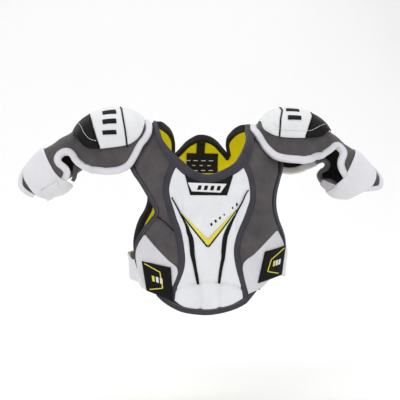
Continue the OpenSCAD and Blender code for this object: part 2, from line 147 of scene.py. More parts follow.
def even(points, n):
    """n + 1 points at even spacing along the smooth curve."""
    q = along(points, np.linspace(0, 1, 600))
    run = run_of(q)
    at = np.linspace(0, run[-1], n + 1)
    return np.stack([np.interp(at, run, q[:, k]) for k in range(q.shape[1])], 1)


def leftward(path):
    """Unit steps to the left of a path's direction."""
    v = unit(np.gradient(path, axis=0))
    return np.stack([-v[:, 1], v[:, 0]], 1)


def beside(points, h, n=80):
    """The curve moved by h to the left of its direction."""
    p = even(points, n)
    return p + h * leftward(p)


def steps(n, bunch=0.5):
    """Values from 0 to 1, closer together near both ends."""
    t = np.linspace(0, 1, n + 1)
    return (1 - bunch) * t + bunch * (0.5 - 0.5 * np.cos(math.pi * t))


def coons(left, right, bottom, top, nc, nr, bunch=0.5):
    """Grid of points inside four edges: left and right run up, bottom and top run across."""
    s, u = steps(nc, bunch), steps(nr, bunch)
    lo, hi = along(left, u)[:, None], along(right, u)[:, None]
    b, t = along(bottom, s)[None], along(top, s)[None]
    s, u = s[None, :, None], u[:, None, None]
    c = [np.array(p, float) for p in (left[0], right[0], left[-1], right[-1])]
    return ((1 - s) * lo + s * hi + (1 - u) * b + u * t - (1 - s) * (1 - u) * c[0]
            - s * (1 - u) * c[1] - (1 - s) * u * c[2] - s * u * c[3])


def line(a, b):
    """A straight edge, with its middle point."""
    a, b = np.array(a, float), np.array(b, float)
    return [a, (a + b) / 2, b]


def between(left, right, nc, nr, bunch=0.5):
    """Grid between two edges that run up, closed by straight lines."""
    return coons(left, right, line(left[0], right[0]), line(left[-1], right[-1]), nc, nr, bunch)


def ease(v):
    """Smooth step from 0 to 1."""
    v = np.clip(v, 0, 1)
    return v * v * (3 - 2 * v)


def back_w(points):
    """Points given by their height on the back, as places along the cloth over the shoulder."""
    p = np.array(points, float)
    return np.stack([p[:, 0], 2 * RIDGE_W - p[:, 1]], 1)


# ---- Skins: each turns (two surface coordinates, height above the surface) into a place ----
def on_body(p, d):
    """The wrapped body: cloth runs up the chest to the shoulder ridge and down the back."""
    x, w = p[..., 0], p[..., 1]
    behind = w > RIDGE_W
    v = np.where(behind, 2 * RIDGE_W - w, w)
    face = np.where(behind, -1.0, 1.0)
    depth = np.where(behind, BACK_DEPTH, FRONT_DEPTH)
    k = np.clip(x / BODY_HALF_W, -0.999, 0.999)
    h = RIDGE_Z - RIDGE_TILT * x - RIDGE_FALL * np.maximum(0, np.abs(x) - FALL_FROM) ** 2 - CHEST_TOP_Z
    f = np.maximum(0, (v - CHEST_TOP_Z) / ARC_W) * math.pi / 2
    y = -face * depth * np.sqrt(1 - k * k) * np.cos(f)
    z = np.where(v < CHEST_TOP_Z, v, CHEST_TOP_Z + h * np.sin(f))
    n = unit(np.stack([k / BODY_HALF_W * np.cos(f) ** 2, y / depth ** 2, np.sin(f) / h * (1 - k * k)], -1))
    thin = 1 - SHOULDER_THIN * f / (math.pi / 2)
    return np.stack([x, y, z], -1) + n * (d * thin)[..., None]


def on_dome(side):
    """The shoulder cap: (degrees from the top, distance out along the arm)."""
    roll = math.radians(CAP_ROLL[side])

    def skin(p, d):
        a, u = p[..., 0], p[..., 1]
        k = np.minimum(0.99, np.abs(u - CAP_U) / np.where(u < CAP_U, CAP_IN[side], CAP_OUT))
        ry = (CAP_R + CAP_BULGE) * (1 - k ** DOME_P) ** (1 / DOME_P) + d
        rz = CAP_R * np.sqrt(1 - k * k) + d
        f = np.radians(np.minimum(np.abs(a), 90))
        y = -np.sign(a) * ry * np.sin(f)
        z = rz * np.cos(f) - np.maximum(0, np.abs(a) - 90) * WALL_RATE
        return np.stack([u, y * math.cos(roll) + z * math.sin(roll),
                         CAP_Z + z * math.cos(roll) - y * math.sin(roll)], -1)
    return skin


def on_arm(side):
    """The arm guard's tube: (degrees from the top, distance out along the arm)."""
    droop, roll = math.radians(ARM_DROOP[side]), math.radians(ARM_ROLL[side])
    out = np.array([math.cos(droop), 0, -math.sin(droop)])
    up = np.array([math.sin(droop), 0, math.cos(droop)])
    front = np.array([0.0, -1, 0])
    start = np.array([ARM_START[0], 0, ARM_START[1]])

    def skin(p, d):
        a, t = np.radians(p[..., 0]) - roll, p[..., 1]
        r = d - ARM_TAPER[side] * np.maximum(0, t - TAPER_FROM) * np.maximum(0, np.cos(a))
        ring = up * (r * np.cos(a))[..., None] + front * (r * np.sin(a))[..., None]
        return start + out * t[..., None] + ring
    return skin


def on_sleeve(side):
    """One cloth from the cap's skirt down the arm: (degrees from the top, distance out)."""
    dome, arm = on_dome(side), on_arm(side)
    droop = math.radians(ARM_DROOP[side])
    up = np.array([math.sin(droop), 0, math.cos(droop)])

    def skin(p, d):
        a, s = p[..., 0], p[..., 1]
        onto_arm = ease((s - BEND_FROM) / BEND_SPAN)[..., None]
        closed = ease((s - GATHER_FROM) / GATHER_SPAN)
        u = np.maximum(s, SKIRT_FLAT_U)
        skirt = dome(np.stack([a, np.minimum(u, SKIRT_END_U)], -1), d - SKIRT_IN)
        skirt = skirt - (u - s)[..., None] * np.array([1, 0, SKIRT_FALL])
        turn = a - ARM_ROLL[side]
        over = turn - np.clip(turn, -HANG_ANGLE, HANG_ANGLE)
        guard = arm(np.stack([a - over * (1 - closed), arm_length(s)], -1), GUARD_IN + d)
        guard = guard - up * (HANG_RATE * np.abs(over) * (1 - closed))[..., None]
        return (1 - onto_arm) * skirt + onto_arm * guard
    return skin


def arm_length(s):
    """Distance along the arm's own axis for a distance out on the sleeve."""
    return (s - SLEEVE_ZERO) / SLEEVE_RATE


def sleeve_s(t):
    """Distance out on the sleeve for a distance along the arm's own axis."""
    return SLEEVE_ZERO + SLEEVE_RATE * np.asarray(t, float)


# ---- Mesh building ----
def soft_noise(points, size, seed=0.0):
    """Smooth noise from -1 to 1 at each point, with bumps of about that size in millimetres."""
    flat = points.reshape(-1, 3) / size + seed
    v = np.array([noise.noise(Vector(q)) for q in flat])
    return v.reshape(points.shape[:-1])


def show(name, mesh):
    """Adds an object with that mesh, lamp or camera to the scene."""
    obj = bpy.data.objects.new(name, mesh)
    bpy.context.scene.collection.objects.link(obj)
    return obj


def make(name, verts, faces, uvs, kinds, mats, body, side=None, nodes=(), slot=None):
    """One mesh object from vertices in millimetres; side 0 is mirrored to the wearer's right."""
    v = np.array(verts, float) * MM
    faces = [tuple(f) for f in faces]
    if side == 0:
        v[:, 0] *= -1
        faces = [f[::-1] for f in faces]
        uvs = [u[::-1] for u in uvs]
    mesh = bpy.data.meshes.new(name)
    mesh.from_pydata(v.tolist(), [], faces)
    layer = mesh.uv_layers.new(name="cloth")
    layer.data.foreach_set("uv", np.array([c for u in uvs for c in u], float).ravel())
    for m in mats:
        mesh.materials.append(m)
    if kinds is not None:
        mesh.polygons.foreach_set("material_index", list(kinds))
    mesh.polygons.foreach_set("use_smooth", [True] * len(mesh.polygons))
    mesh.validate()
    obj = show(name, mesh)
    if body:
        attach(obj, body)
    slot or SLOT_OF[mats[0].name]
    if nodes:
        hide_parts(*nodes)
    return obj


def edge_distance(points):
    """Distance in millimetres from each grid point to the nearest side of the grid."""
    du = np.linalg.norm(np.diff(points, axis=1), axis=2)
    dv = np.linalg.norm(np.diff(points, axis=0), axis=2)
    zu, zv = np.zeros((len(points), 1)), np.zeros((1, points.shape[1]))
    run_u, run_v = np.hstack([zu, np.cumsum(du, 1)]), np.vstack([zv, np.cumsum(dv, 0)])
    dist = np.minimum.reduce([run_u, run_u[:, -1:] - run_u, run_v, run_v[-1:] - run_v])
    return dist, run_u, run_v


def round_edge(dist, radius):
    """Height from 0 to 1 of a rounded edge at a distance from it."""
    e = np.clip(dist / radius, 0, 1)
    return np.sqrt(1 - (1 - e) ** 2)


def pad(name, skin, grid, low, high, mats, body="torso", side=None, nodes=(), slot=None, crown=0.0,
        radius=4.0, shape=None, wrinkle=0.0, wrinkle_size=28.0):
    """A closed padded piece between two heights above its skin, with rounded, crowned edges."""
    base = skin(grid, np.full(grid.shape[:2], (low + high) / 2.0))
    dist, run_u, run_v = edge_distance(base)
    rise = round_edge(dist, radius)
    swell = 1 - np.exp(-dist / SWELL_REACH)
    mid = (low + high) / 2
    top = mid + (high - mid) * rise + crown * swell
    bottom = mid - (mid - low) * rise
    if shape is not None:
        top = top + shape(grid, dist)
    if wrinkle:
        inside = np.clip(dist / 8, 0, 1)
        top = top + wrinkle * inside * soft_noise(base, wrinkle_size, len(name))
        top = top + wrinkle * 0.35 * inside * soft_noise(base, wrinkle_size / 3, 7 + len(name))
    upper, lower = skin(grid, top), skin(grid, bottom)
    nr, nc = grid.shape[0], grid.shape[1]
    verts = np.vstack([lower.reshape(-1, 3), upper.reshape(-1, 3)])
    uv = np.stack([run_u, run_v], -1) * MM
    count = nr * nc
    faces, uvs, kinds = [], [], []

    def quad(ids, coords, kind):
        faces.append(ids)
        uvs.append([tuple(uv[c]) for c in coords])
        kinds.append(kind)

    for j in range(nr - 1):
        for i in range(nc - 1):
            c = [(j, i), (j, i + 1), (j + 1, i + 1), (j + 1, i)]
            ids = [a * nc + b for a, b in c]
            quad([count + q for q in ids], c, 0)
            quad(ids[::-1], c[::-1], 1)
    ring = [(0, i) for i in range(nc)] + [(j, nc - 1) for j in range(1, nr)]
    ring += [(nr - 1, i) for i in range(nc - 2, -1, -1)] + [(j, 0) for j in range(nr - 2, 0, -1)]
    for a, b in zip(ring, ring[1:] + ring[:1]):
        ia, ib = a[0] * nc + a[1], b[0] * nc + b[1]
        quad([ia, ib, count + ib, count + ia], [a, b, b, a], 0)
    obj = make(name, verts, faces, uvs, kinds if len(mats) > 1 else None, mats, body, side, nodes, slot)
    return obj


def frames(skin, path, d):
    """Places, tangents, normals and left-hand sides along a path on a skin."""
    h = np.full(len(path), float(d))
    p = skin(path, h)
    n = unit(skin(path, h + 0.5) - skin(path, h - 0.5))
    t = unit(np.gradient(p, axis=0))
    b = unit(np.cross(n, t))
    return p, t, np.cross(t, b), b


def rounded(h0, h1, thick, r):
    """Outline of a tape's section: a box with round corners."""
    corners = ((h1 - r, thick - r, 0), (h0 + r, thick - r, 90), (h0 + r, r, 180), (h1 - r, r, 270))
    turns = [(h, d, math.radians(start + 22.5 * i)) for h, d, start in corners for i in range(5)]
    return np.array([(h + r * math.cos(a), d + r * math.sin(a)) for h, d, a in turns])


def steady_frames(t, n, span):
    """Normals kept from turning under and smoothed over that many places, with their left-hand sides."""
    n = np.stack([n[:, 0], n[:, 1], np.maximum(n[:, 2], -0.3)], 1)
    k = np.hanning(2 * span + 3)[1:-1]
    n = np.stack([np.convolve(np.pad(c, span, "edge"), k / k.sum(), "valid") for c in n.T], 1)
    b = unit(np.cross(n, t))
    return np.cross(t, b), b


def tape(name, skin, curve, h0, h1, d0, d1, mat, body="torso", side=None, nodes=(), n=120, r=1.6, narrow=(),
         steady=0):
    """Binding tape of one width beside a curve, from height d0 to d1."""
    p, t, up, b = frames(skin, even(curve, n), d0)
    if steady:
        up, b = steady_frames(t, up, steady)
    section = rounded(h0, h1, d1 - d0, r)
    m, k = len(p), len(section)
    sec = np.repeat(section[None], m, 0)
    if narrow:  # (place along the tape, share of its width) pairs; the tape narrows towards h = 0
        sec[..., 0] *= np.interp(np.linspace(0, 1, m), *zip(*narrow))[:, None]
    verts = (p[:, None] + b[:, None] * sec[..., :1] + up[:, None] * sec[..., 1:]).reshape(-1, 3)
    run, across = run_of(p) * MM, run_of(np.vstack([section, section[:1]])) * MM
    faces, uvs = [], []
    for i in range(m - 1):
        for q in range(k):
            after = (q + 1) % k
            faces.append([i * k + q, i * k + after, (i + 1) * k + after, (i + 1) * k + q])
            uvs.append([(run[i], across[q]), (run[i], across[q + 1]),
                        (run[i + 1], across[q + 1]), (run[i + 1], across[q])])
    for i, ids in ((0, range(k - 1, -1, -1)), (m - 1, range(k))):
        faces.append([i * k + q for q in ids])
        uvs.append([(run[i], across[q]) for q in ids])
    return make(name, verts, faces, uvs, None, [mat], body, side, nodes)


def stitches(name, skin, curve, h, d, mat, body="torso", side=None, pitch=3.6, length=2.5, wide=0.75,
             slot=None, steady=0):
    """A row of thread stitches lying along a curve."""
    p, t, n, b = frames(skin, even(curve, 300), 0)
    if steady:
        n, b = steady_frames(t, n, steady)
    p = p + b * h + n * d
    run = run_of(p)
    verts, faces = [], []
    ring = [(math.cos(math.radians(60 * q)), math.sin(math.radians(60 * q))) for q in range(6)]
    for at in np.arange(pitch / 2, run[-1] - pitch / 2, pitch):
        c, tt, nn, bb = [np.array([np.interp(at, run, v[:, k]) for k in range(3)]) for v in (p, t, n, b)]
        first = len(verts)
        for off, r in ((-0.5, 0.45), (-0.3, 1.0), (0.3, 1.0), (0.5, 0.45)):
            for x, y in ring:
                verts.append(c + tt * off * length + (bb * x + nn * y * 0.7) * r * wide / 2)
        for k in range(3):
            for q in range(6):
                s = (q + 1) % 6
                faces.append([first + 6 * k + i for i in (q, s, s + 6, q + 6)])
        faces += [[first + q for q in range(5, -1, -1)], [first + 18 + q for q in range(6)]]
    uvs = [[(0.0, 0.0)] * len(f) for f in faces]
    return make(name, verts, faces, uvs, None, [mat], body, side, (), slot)


# ---- Materials ----
THREAD_SCALE = 0.314  # wave scale that gives one thread to each pitch


def material(name):
    m = bpy.data.materials.new(name)
    m.use_nodes = True
    nt = m.node_tree
    return m, nt, nt.nodes["Principled BSDF"]


def put(nt, kind, links=(), **values):
    """Adds a node; links are (input, socket) pairs and values set its other inputs or settings."""
    n = nt.nodes.new(kind)
    for key, v in values.items():
        if hasattr(n, key):
            setattr(n, key, v)
        else:
            n.inputs[key.replace("_", " ")].default_value = v
    for key, socket in links:
        nt.links.new(socket, n.inputs[key])
    return n


def feed(nt, sock, v):
    """Links a socket, or sets a plain value."""
    if isinstance(v, bpy.types.NodeSocket):
        nt.links.new(v, sock)
    else:
        sock.default_value = v


def mix_colour(nt, fac, a, b):
    n = put(nt, "ShaderNodeMix", data_type="RGBA")
    for k, v in ((0, fac), (6, (*a, 1.0)), (7, (*b, 1.0))):
        feed(nt, n.inputs[k], v)
    return n.outputs[2]


def maths(nt, op, *values):
    n = put(nt, "ShaderNodeMath", operation=op)
    for k, v in enumerate(values):
        feed(nt, n.inputs[k], v)
    return n.outputs[0]


def noise_at(nt, where, scale, **values):
    return put(nt, "ShaderNodeTexNoise", [("Vector", where)], Scale=scale, **values).outputs["Fac"]


def limit(nt, v):
    return maths(nt, "MINIMUM", maths(nt, "MAXIMUM", v, 0.0), 1.0)


def two_bumps(nt, shader, fine, strength, fine_size, soft, soft_strength, soft_size):
    """A fine relief with a soft one over it."""
    low = put(nt, "ShaderNodeBump", [("Height", fine)], Strength=strength, Distance=fine_size)
    top = put(nt, "ShaderNodeBump", [("Height", soft), ("Normal", low.outputs[0])], Strength=soft_strength,
              Distance=soft_size)
    nt.links.new(top.outputs[0], shader.inputs["Normal"])


def cloth(name, dark, light, pitch=1.1, rough=0.85, bump=0.35, ribs=False, tone=0.5, sheen=0.15,
          blotch=45.0, fuzz=0.0):
    """Woven or ribbed cloth; its threads follow the piece's own cloth map, in metres."""
    m, nt, shader = material(name)
    uv = put(nt, "ShaderNodeUVMap", uv_map="cloth").outputs[0]
    where = put(nt, "ShaderNodeTexCoord").outputs["Object"]
    warp, weft = [put(nt, "ShaderNodeTexWave", [("Vector", uv)], bands_direction=way,
                      Scale=THREAD_SCALE / (pitch * MM)).outputs["Fac"] for way in "XY"]
    if ribs:
        weft = maths(nt, "ADD", maths(nt, "MULTIPLY", weft, 0.3), 0.7)
    thread = maths(nt, "MULTIPLY", warp, weft)
    patchy = noise_at(nt, where, blotch, Detail=6.0, Roughness=0.65)
    grain = noise_at(nt, where, 1400.0, Detail=2.0)
    fac = maths(nt, "ADD", maths(nt, "MULTIPLY", thread, tone),
                maths(nt, "MULTIPLY", maths(nt, "SUBTRACT", patchy, 0.25), 0.9))
    fac = maths(nt, "ADD", fac, maths(nt, "MULTIPLY", maths(nt, "SUBTRACT", grain, 0.5), 0.5 + fuzz))
    nt.links.new(mix_colour(nt, limit(nt, fac), dark, light), shader.inputs["Base Color"])
    height = maths(nt, "ADD", thread, maths(nt, "MULTIPLY", grain, 0.5 + fuzz))
    two_bumps(nt, shader, height, bump, 0.0006, noise_at(nt, where, 110.0, Detail=3.0), 0.12, 0.003)
    for key, v in (("Roughness", rough), ("Sheen Weight", sheen), ("Sheen Roughness", 0.5),
                   ("Specular IOR Level", 0.25)):
        shader.inputs[key].default_value = v
    return m


def coated(name, dark, light, rough=0.42, grain_size=900.0, spec=0.45):
    """Coated synthetic leather: fine pebbled grain, soft mottling and slightly uneven gloss."""
    m, nt, shader = material(name)
    where = put(nt, "ShaderNodeTexCoord").outputs["Object"]
    pebble = put(nt, "ShaderNodeTexVoronoi", [("Vector", where)], Scale=grain_size).outputs["Distance"]
    patchy = noise_at(nt, where, 35.0, Detail=7.0, Roughness=0.6)
    fac = maths(nt, "ADD", maths(nt, "MULTIPLY", patchy, 1.1), maths(nt, "MULTIPLY", pebble, 0.25))
    fac = limit(nt, maths(nt, "SUBTRACT", fac, 0.15))
    nt.links.new(mix_colour(nt, fac, dark, light), shader.inputs["Base Color"])
    gloss = maths(nt, "ADD", maths(nt, "MULTIPLY", patchy, 0.2), rough - 0.1)
    nt.links.new(gloss, shader.inputs["Roughness"])
    two_bumps(nt, shader, pebble, 0.3, 0.0004, noise_at(nt, where, 70.0, Detail=4.0), 0.15, 0.004)
    shader.inputs["Specular IOR Level"].default_value = spec
    return m


GREY = cloth("grey_cloth", (0.048, 0.042, 0.045), (0.152, 0.138, 0.147), pitch=1.6, bump=0.6, tone=0.6)
GREY_TAPE = cloth("dark_tape", (0.028, 0.026, 0.034), (0.080, 0.074, 0.092), pitch=1.1, ribs=True,
                  sheen=0.08)
# Lighter copy of the dark binding tape: painted light, so the rear binding that sits in shade reads lighter
PAINTED_LIGHT_TAPE = cloth("tape_painted_light", (0.14, 0.13, 0.145), (0.28, 0.26, 0.29), pitch=1.1, ribs=True)
BLACK_TAPE = cloth("black_tape", (0.004, 0.004, 0.005), (0.020, 0.018, 0.021), pitch=1.1, ribs=True,
                   sheen=0.03)
WHITE_TAPE = cloth("white_tape", (0.66, 0.65, 0.70), (0.84, 0.83, 0.87), pitch=1.1, ribs=True, bump=0.3)
YELLOW = cloth("yellow_lining", (0.80, 0.68, 0.0), (0.98, 0.88, 0.002), pitch=2.2, bump=0.6, rough=0.9,
               sheen=0.0)
MESH = cloth("black_lining", (0.004, 0.004, 0.004), (0.022, 0.020, 0.020), pitch=2.0, bump=0.6, rough=0.95,
             sheen=0.05)
ELASTIC = cloth("white_elastic", (0.70, 0.69, 0.73), (0.88, 0.87, 0.90), pitch=1.6, ribs=True, bump=0.45,
                blotch=25)
BEIGE = cloth("beige_elastic", (0.20, 0.19, 0.165), (0.33, 0.32, 0.29), pitch=1.6, ribs=True, bump=0.45)
LOOP = cloth("loop_cloth", (0.68, 0.67, 0.71), (0.85, 0.84, 0.88), pitch=1.0, bump=0.5, fuzz=0.9, rough=0.95)
# Greyish lilac copy of the white elastic: painted shade for the inner face of a strap end
ELASTIC_PAINTED_SHADE = cloth("elastic_painted_shade", (0.46, 0.43, 0.48), (0.64, 0.60, 0.66), pitch=1.2, bump=0.4)
WHITE = coated("white_coated", (0.70, 0.71, 0.74), (0.86, 0.87, 0.89))
CAP_WHITE = coated("white_cap", (0.66, 0.67, 0.68), (0.84, 0.85, 0.86), rough=0.55, spec=0.3)
BLACK = coated("black_coated", (0.003, 0.003, 0.003), (0.014, 0.012, 0.013), rough=0.6, spec=0.12)
RUBBER = coated("black_tab", (0.003, 0.003, 0.003), (0.011, 0.010, 0.010), rough=0.6, grain_size=1500,
                spec=0.12)
LABEL = cloth("label_cloth", (0.005, 0.005, 0.005), (0.024, 0.022, 0.020), pitch=0.8, bump=0.3, sheen=0.03)
INK_YELLOW = coated("yellow_ink", (0.62, 0.56, 0.03), (0.85, 0.79, 0.08), rough=0.5)
INK_BLACK = coated("black_ink", (0.003, 0.003, 0.003), (0.012, 0.011, 0.011), rough=0.6, spec=0.12)
INK_WHITE = coated("white_ink", (0.70, 0.70, 0.72), (0.84, 0.84, 0.86), rough=0.5)
THREAD_GREY = cloth("grey_thread", (0.16, 0.15, 0.17), (0.26, 0.25, 0.28), pitch=0.6)
THREAD_WHITE = cloth("white_thread", (0.62, 0.62, 0.64), (0.80, 0.80, 0.82), pitch=0.6)
THREAD_DARK = cloth("dark_thread", (0.020, 0.018, 0.022), (0.055, 0.050, 0.060), pitch=0.6)

# The record's slot for each material, unless a piece names another
SLOT_OF = {m.name: slot for slot, mats in (
    ("grey_fabric", [GREY]), ("binding_tape", [GREY_TAPE, PAINTED_LIGHT_TAPE, BLACK_TAPE, THREAD_GREY, THREAD_DARK]),
    ("binding_white", [WHITE_TAPE]), ("white_synthetic", [WHITE]), ("black_synthetic", [BLACK, INK_BLACK]),
    ("badge_white", [INK_WHITE, INK_YELLOW]), ("cap_white", [CAP_WHITE, THREAD_WHITE]),
    ("loop_white", [LOOP]), ("label_black", [LABEL]), ("hook_tab_black", [RUBBER]),
    ("elastic_white", [ELASTIC]), ("elastic_beige", [BEIGE, ELASTIC_PAINTED_SHADE])) for m in mats}


# ---- Chest ----
def chest_grid(side, s):
    """The grey side panel from the armhole to the sternum tape and the collar."""
    outer = beside(ARMHOLE[side], s * 4.5, 60)
    collar = beside(NECK, 5.0, 120)
    collar = collar[(collar[:, 0] * s > 40) & (collar[:, 1] > -44)]
    collar = collar[::-1] if side == 0 else collar
    inner = np.vstack([beside(STERNUM[side], -s * 2.0, 60), collar[::4], collar[-1:]])
    edges = [even(outer, 90), even(inner, 90)]
    return between(*edges[::-s], 44, 120)


def chest_seam(side):
    """A sewn channel low on each side panel."""
    def shape(grid, dist):
        x, w = grid[..., 0], grid[..., 1]
        seam = w - (-128 - (abs(x) - 55) * 0.45) if side == 0 else w + 150 + (x - 60) * 0.5
        return -1.6 * np.exp(-(seam / 2.2) ** 2) * np.clip(dist / 6, 0, 1)
    return shape


for side, who, s in BOTH:
    pad(who + "_chest_pad", on_body, chest_grid(side, s), LINING_D, COVER_D, [GREY, YELLOW],
        nodes=[who + "_chest_cover", who + "_chest_foam", who + "_chest_liner"], crown=1.2, radius=3.5,
        wrinkle=1.1, wrinkle_size=34, shape=chest_seam(side))
tape("right_chest_seam", on_body, [(-66, -129), (-59.5, -133), (-53, -139), (-44, -149)], -0.7, 0.7,
     COVER_D - 2, COVER_D + 2.4, BLACK_TAPE, n=30, r=0.6)


STERNUM_X = 4.0  # the sternum's middle line


def sternum_shape(grid, dist):
    """Raised shield with a seam and two pleats below it, and a facet under the printed V."""
    x, w = grid[..., 0], grid[..., 1]
    centre = x - STERNUM_X
    shield = 1.6 * np.clip(dist / 14, 0, 1) * np.clip((w + 226) / 8, 0, 1)
    shield = shield * np.exp(-(np.abs(centre) / 44) ** 6)
    low = np.clip((-222 - w) / 10, 0, 1)
    pleats = -2.8 * low * sum(np.exp(-((x - c) / 2.2) ** 2) for c in (-8.5, 17.5))
    scallop = w - (-226 - 4.5 * (centre / 30) ** 2 + 3)
    seam = -2.2 * np.exp(-(scallop / 1.8) ** 2) * (np.abs(centre) < 46)
    vee = w - (-97 - 0.62 * (34 - np.abs(centre)))
    facet = 1.3 * ease(-vee / 4) * np.clip((w + 165) / 40, 0, 1) * (np.abs(centre) < 36)
    return shield + pleats + seam + facet


def sternum_grid():
    """The white panel between the two sternum tapes, from the hem to the collar."""
    left, right = beside(STERNUM[0], -2.0, 60), beside(STERNUM[1], 2.0, 60)
    collar = beside(NECK, 5.0, 120)
    collar = collar[(collar[:, 0] > left[-1, 0] + 3) & (collar[:, 0] < right[-1, 0] - 3)]
    bottom = np.vstack([left[:1], np.array(HEM[3:8], float) - (0, 2), right[:1]])
    top = np.vstack([left[-1:], collar[::5], right[-1:]])
    return coons(left, right, even(bottom, 60), even(top, 60), 60, 110)


pad("sternum_pad", on_body, sternum_grid(), LINING_D, COVER_D + 0.8, [WHITE, YELLOW],
    nodes=["sternum_panel", "sternum_plate", "sternum_liner"], crown=0.8, radius=3.0, wrinkle=0.5,
    wrinkle_size=30, shape=sternum_shape)

for side, who, s in BOTH:
    tape(who + "_sternum_tape", on_body, STERNUM[side], -5.6, 5.6, 2, COVER_D + 1.6, GREY_TAPE,
         nodes=[who + "_sternum_binding"], r=2.4, n=110)
    stitches(who + "_sternum_stitches", on_body, STERNUM[side], -s * 3.8, COVER_D + 1.6, THREAD_DARK)
    tape(who + "_armhole_tape", on_body, ARMHOLE[side], *sorted((-s * 0.5, s * 6.5)), TAPE_IN, TAPE_OUT,
         GREY_TAPE, nodes=[who + "_armhole_binding"], r=2.4, n=130)
    stitches(who + "_armhole_stitches", on_body, ARMHOLE[side], s * 5.2, COVER_D + 1.1, THREAD_GREY)

tape("neck_tape", on_body, NECK, -4.0, 9.5, TAPE_IN, COVER_D + 2.8, GREY_TAPE, nodes=["neck_binding"], r=2.4,
     n=150, narrow=((0, 0.35), (0.08, 0.5), (0.2, 0.62), (0.34, 1), (0.7, 1), (0.85, 0.75), (1, 0.75)))
stitches("neck_stitches", on_body, NECK, 0.4, COVER_D + 2.9, THREAD_DARK)
tape("hem_tape", on_body, HEM, -8.8, 0.6, TAPE_IN, TAPE_OUT, GREY_TAPE, nodes=["front_hem_binding"], r=2.6,
     n=110, narrow=((0, 1), (0.86, 1), (1, 0.35)))
stitches("hem_stitches", on_body, HEM, -1.4, COVER_D + 1.3, THREAD_GREY)

# ---- Loop panels at the lower sides ----
LOOP_EDGES = (
    ([(-79, -235), (-89, -210), (-92.6, -185), (-89, -169), (-82, -156)],
     [(-45, -228), (-38.4, -205), (-52, -190), (-67, -173), (-80, -156)]),
    ([(57, -241), (49, -200), (66, -183), (82, -167), (97, -152)],
     [(76, -233), (98, -210), (108, -186), (108, -171), (99, -152)]))
for side, who in enumerate(SIDES):
    patch = pad(who + "_loop_patch", on_body, between(*LOOP_EDGES[side], 30, 44), COVER_D + 0.4,
                COVER_D + 2.4, [LOOP], nodes=[who + "_loop_panel"], radius=1.2, wrinkle=0.3)


# ---- Patch, badge and prints on the sternum ----
def flat_piece(name, outline, d0, d1, mat, body="torso", skin=on_body, nodes=(), radius=0.8, side=None, n=14):
    """A thin four-sided piece on a skin; the outline is left bottom, left top, right bottom, right top."""
    left_low, left_top, right_low, right_top = outline
    grid = between(line(left_low, left_top), line(right_low, right_top), n, n, 0.3)
    return pad(name, skin, grid, d0, d1, [mat], body, side, nodes, radius=radius)


collar = beside(NECK, -2.5, 120)
collar = [tuple(q) for q in collar if -31 < q[0] < 37 and q[1] < -40]
PATCH_LOW = ((-22, -98), (27, -98.5))
pad("chest_patch_panel", on_body, coons(line(PATCH_LOW[0], collar[0]), line(PATCH_LOW[1], collar[-1]),
                                        line(*PATCH_LOW), collar, 30, 16, 0.3),
    COVER_D + 2.0, COVER_D + 4.0, [BLACK], nodes=["chest_patch"], radius=1.0)
flat_piece("chest_badge_panel", ((-20, -92.5), (-25, -80), (18, -94.5), (26, -82)), COVER_D + 3.8,
           COVER_D + 5.6, INK_WHITE, nodes=["chest_badge"], radius=1.2)
for i in range(4):
    x, low, top = -13 + 8.4 * i, -90.5 - 0.3 * i, -84 - 0.3 * i
    flat_piece("badge_bar_%d" % (i + 1), ((x, low), (x + 1.6, top), (x + 4.6, low), (x + 6.2, top)),
               COVER_D + 5.2, COVER_D + 6.0, INK_BLACK, radius=0.4, n=6)


def ink_line(name, points, widths, mat, d=COVER_D + 4.2, body="torso", n=60):
    """A printed line of changing width, as a thin film on the cloth."""
    path = even(points, n)
    half = np.interp(np.linspace(0, 1, n + 1), np.linspace(0, 1, len(widths)), widths)[:, None] / 2
    grid = np.stack([path + leftward(path) * half * k for k in (1, 0.5, 0, -0.5, -1)], 1)
    return pad(name, on_body, grid, d - 0.5, d, [mat], body, radius=0.4)


LINES = (
    ("right_side_line",
     [(-46, -101), (-43.5, -106), (-38, -117), (-34, -126), (-30, -134), (-26.5, -142), (-24, -151),
      (-21.5, -158), (-20, -169), (-19, -182), (-17, -193), (-15, -205), (-13, -216), (-11.6, -225)]),
    ("left_side_line",
     [(56, -91), (51.6, -98), (47, -109), (41, -120), (36.5, -129), (32, -138), (27.6, -148), (24.6, -157),
      (23, -168), (22, -180), (21.5, -188), (19.5, -198), (17.5, -211), (16, -224)]))
for name, path in LINES:
    ink_line(name, path, [1.7, 1.9, 2.1, 2.4, 3.4, 5.4, 6.4, 6.4, 6.0, 4.8, 4.2, 4.0, 3.4], INK_BLACK, n=90)
for who, top in (("right", (-33.5, -123)), ("left", (39.5, -117.5))):
    foot, rise = np.array((1.3, -165.5)), np.array(top) - (1.3, -165.5)
    path = [foot + rise * k for k in (-0.05, 0.35, 0.7, 1)]
    edge = [q - (0, 1.8) for q in path]
    ink_line(who + "_chevron_edge", edge, [8.4, 6.8, 4.6, 1.2], INK_BLACK, COVER_D + 4.3)
    ink_line(who + "_chevron", path, [6.0, 4.8, 2.8, 0.5], INK_YELLOW, COVER_D + 4.8)
for i in range(7):
    x, w = 6.5 + 34 * i / 6, -140 + 28 * i / 6
    flat_piece("chest_tick_%d" % (i + 1),
               ((x - 1.2, w - 2.4), (x - 2.6, w + 1.4), (x + 1.2, w - 0.6), (x - 0.2, w + 3.2)),
               COVER_D + 3.6, COVER_D + 4.3, INK_BLACK, radius=0.3, n=4)


# ---- Back bib ----
def back_grid():
    """The whole back panel, from the hem to the neck arch."""
    left = beside(BACK_SIDE, 4.5, 60)
    right = [(-x, w) for x, w in left]
    bottom = [left[0], (56, -246.5), (20, -255.5), (-20, -255.5), (-56, -246.5), right[0]]
    arch = beside(BACK_ARCH, -3.5, 60)[::-4] - (0, 3)
    top = np.vstack([left[-1:], [(68, -38), (56, -39)], arch, [(-46, -40), (-62, -38)], right[-1:]])
    edges = [back_w(even(q, n)) for q, n in ((left, 60), (right, 60), (bottom, 60), (top, 90))]
    return coons(*edges, 96, 100)


